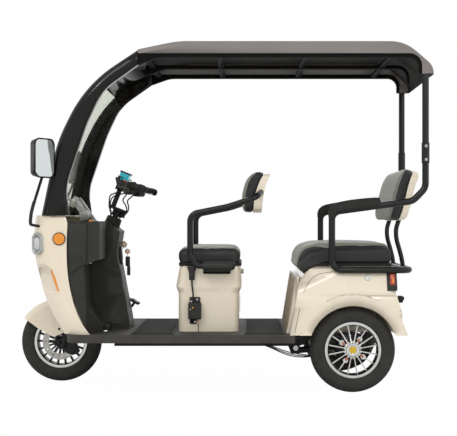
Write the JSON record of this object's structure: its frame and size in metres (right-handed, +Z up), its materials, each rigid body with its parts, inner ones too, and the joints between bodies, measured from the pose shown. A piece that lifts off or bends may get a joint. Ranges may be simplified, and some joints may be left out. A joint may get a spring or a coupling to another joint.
{
  "type": "electric tricycle",
  "caption": "Three-wheeled electric passenger vehicle with a steered front wheel, a roof, a windscreen, a driver's seat and a bench.",
  "frame": {"origin": "on the ground under the middle of the vehicle's outer box", "axes": "+X forward, +Y to the vehicle's left, +Z up"},
  "size_m": [2.0975, 1.1418, 1.722],
  "materials": {
    "cream_panel": "gloss",
    "roof_shell": "fine texture",
    "gloss_black": "gloss",
    "black_plastic": "satin grain",
    "floor_plastic": "satin grain",
    "black_tube": "gloss powder coat",
    "black_metal": "satin",
    "frame_metal": "satin",
    "tyre": "rubber",
    "rim": "machined lip on black",
    "disc_steel": "brushed",
    "cast_metal": "rough",
    "seat_cover": "soft grain",
    "soft_black": "satin",
    "clear_screen": "clear",
    "lamp_silver": "bright",
    "lamp_clear": "clear",
    "lamp_amber": "clear amber",
    "lamp_red": "clear red",
    "mirror": "bright",
    "display": "gloss",
    "battery": "plain"
  },
  "bodies": {
    "chassis": {"chassis_frame": "frame_metal", "floor_board": "floor_plastic", "floor_mats": "soft_black", "front_cowl": "cream_panel", "leg_shield": "black_plastic", "steering_boot": "soft_black", "headlamp_bezels": "lamp_silver", "headlamp_lenses": "lamp_clear", "turn_signals": "lamp_amber", "windscreen_surround": "gloss_black", "windscreen": "clear_screen", "wiper": "black_metal", "wiper_motor": "cast_metal", "roof_shell": "roof_shell", "roof_frame": "black_tube", "rear_posts": "black_tube", "rear_rail": "black_tube", "armrest_pads": "soft_black", "driver_seat_box": "cream_panel", "battery_pack": "battery", "driver_seat_rail": "black_tube", "driver_backrest_shell": "cream_panel", "driver_backrest_pad": "seat_cover", "rear_body": "cream_panel", "tail_lamps": "lamp_red", "plate_lamp": "black_plastic", "rear_backrest_shell": "cream_panel", "rear_backrest_pad": "seat_cover", "backrest_supports": "black_tube", "rear_axle": "cast_metal", "swing_arms": "frame_metal", "shock_absorbers": "black_metal", "mirror_housings": "gloss_black", "mirror_glasses": "mirror", "control_box": "black_plastic", "control_leads": "soft_black", "brake_pedal": "black_metal"},
    "steering": {"fork": "black_metal", "front_fender": "cream_panel", "brake_caliper": "black_metal", "handlebar": "black_metal", "grips": "soft_black", "hand_controls": "black_plastic", "control_cables": "soft_black", "display_unit": "display"},
    "front_wheel": {"front_tyre": "tyre", "front_rim": "rim", "brake_disc": "disc_steel"},
    "rear_wheel_left": {"rear_tyre_left": "tyre", "rear_rim_left": "rim"},
    "rear_wheel_right": {"rear_tyre_right": "tyre", "rear_rim_right": "rim"},
    "driver_seat": {"driver_seat_base": "soft_black", "driver_seat_cushion": "seat_cover"},
    "bench_seat": {"rear_seat_base": "soft_black", "rear_seat_cushion": "seat_cover"}
  },
  "joints": [
    {"name": "steering_turn", "type": "hinge", "parent": "chassis", "child": "steering", "pos_m": [0.81998, 0, 0.2095], "axis": [-0.3697, 0, 0.9291], "range_deg": [-40, 40]},
    {"name": "front_wheel_spin", "type": "hinge", "parent": "steering", "child": "front_wheel", "pos_m": [0.84, 0, 0.2095], "axis": [0, 1, 0], "continuous": true},
    {"name": "rear_left_spin", "type": "hinge", "parent": "chassis", "child": "rear_wheel_left", "pos_m": [-0.65, 0.385, 0.2095], "axis": [0, 1, 0], "continuous": true},
    {"name": "rear_right_spin", "type": "hinge", "parent": "chassis", "child": "rear_wheel_right", "pos_m": [-0.65, -0.385, 0.2095], "axis": [0, 1, 0], "continuous": true},
    {"name": "driver_seat_lift", "type": "hinge", "parent": "chassis", "child": "driver_seat", "pos_m": [0.2125, 0, 0.6145], "axis": [0, 1, 0], "range_deg": [0, 60]},
    {"name": "bench_seat_lift", "type": "hinge", "parent": "chassis", "child": "bench_seat", "pos_m": [-0.396, 0, 0.589], "axis": [0, 1, 0], "range_deg": [0, 50]}
  ]
}
